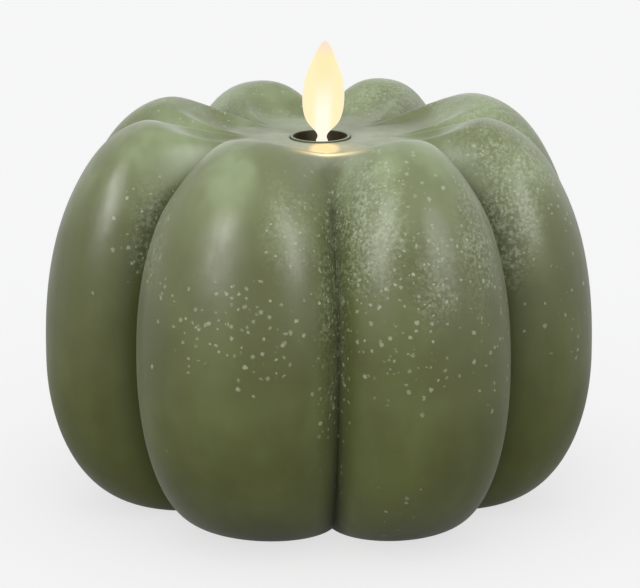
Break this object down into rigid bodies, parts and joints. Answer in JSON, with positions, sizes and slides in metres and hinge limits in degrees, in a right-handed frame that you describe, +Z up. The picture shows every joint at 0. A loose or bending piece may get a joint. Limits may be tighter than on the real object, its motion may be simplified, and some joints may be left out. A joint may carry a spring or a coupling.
{
  "type": "flameless wax pumpkin candle",
  "caption": "Green wax candle shaped like a ribbed pumpkin, lit by batteries, with a small flame-shaped paddle that swings above a hole in its top.",
  "frame": {"origin": "centre of the foot plane, straight below the wick hole", "axes": "+Z up, the front at -Y, +X to the right seen from the front"},
  "size_m": [0.1556, 0.1522, 0.1316],
  "materials": {
    "wax": "satin, mottled olive green wax",
    "collar_plastic": "satin grey-green",
    "flame_plastic": "translucent, lit from below",
    "magnet_plate": "nickel plated",
    "steel": "plain",
    "module_plastic": "moulded black",
    "led_epoxy": "clear, lit warm",
    "bobbin_plastic": "moulded natural",
    "copper": "enamelled copper wire",
    "board": "green solder mask",
    "chip_plastic": "black",
    "capacitor_can": "satin",
    "resistor_ceramic": "matte",
    "base_plastic": "fine texture, ivory",
    "cell_sleeve": "plain dark sleeve",
    "contact_metal": "nickel plated",
    "switch_plastic": "black",
    "lead_red": "soft red insulation",
    "lead_black": "soft black insulation"
  },
  "bodies": {
    "candle": {"wax_body": "wax", "flame_collar": "collar_plastic", "pivot_wire": "steel", "module_shell_front": "module_plastic", "module_shell_rear": "module_plastic", "led": "led_epoxy", "led_leg_1": "steel", "led_leg_2": "steel", "coil_bobbin": "bobbin_plastic", "coil_winding": "copper", "coil_lead_1": "copper", "coil_lead_2": "copper", "control_board": "board", "driver_chip": "chip_plastic", "reservoir_capacitor": "capacitor_can", "base_plate": "base_plastic", "base_cover": "base_plastic", "battery_a": "cell_sleeve", "battery_b": "cell_sleeve", "contact_positive": "contact_metal", "contact_negative": "contact_metal", "contact_bridge": "contact_metal", "spring_negative": "contact_metal", "spring_bridge": "contact_metal", "switch_body": "switch_plastic", "switch_board": "board", "timer_chip": "chip_plastic", "lead_module_positive": "lead_red", "lead_module_negative": "lead_black", "lead_battery_positive": "lead_red", "lead_battery_negative": "lead_black", "module_screw_1": "steel", "base_screw_1": "steel", "module_screw_2": "steel", "base_screw_2": "steel", "module_screw_3": "steel", "base_screw_3": "steel", "module_screw_4": "steel", "base_screw_4": "steel", "switch_screw_1": "steel", "switch_screw_2": "steel", "board_resistor_1": "resistor_ceramic", "board_resistor_2": "resistor_ceramic", "board_resistor_3": "resistor_ceramic"},
    "flame": {"flame_paddle": "flame_plastic", "flame_magnet": "magnet_plate"},
    "switch_knob": {"switch_knob": "switch_plastic"},
    "battery_door": {"battery_door": "base_plastic"}
  },
  "joints": [
    {"name": "flame_swing", "type": "hinge", "parent": "candle", "child": "flame", "pos_m": [0, 0, 0.0885], "axis": [0, 1, 0], "range_deg": [-14, 10]},
    {"name": "power_switch", "type": "slide", "parent": "candle", "child": "switch_knob", "axis": [1, 0, 0], "range_m": [0, 0.005]},
    {"name": "battery_door_hinge", "type": "hinge", "parent": "candle", "child": "battery_door", "pos_m": [-0.0312, 0, 0.002], "axis": [0, 1, 0], "range_deg": [0, 75]}
  ]
}
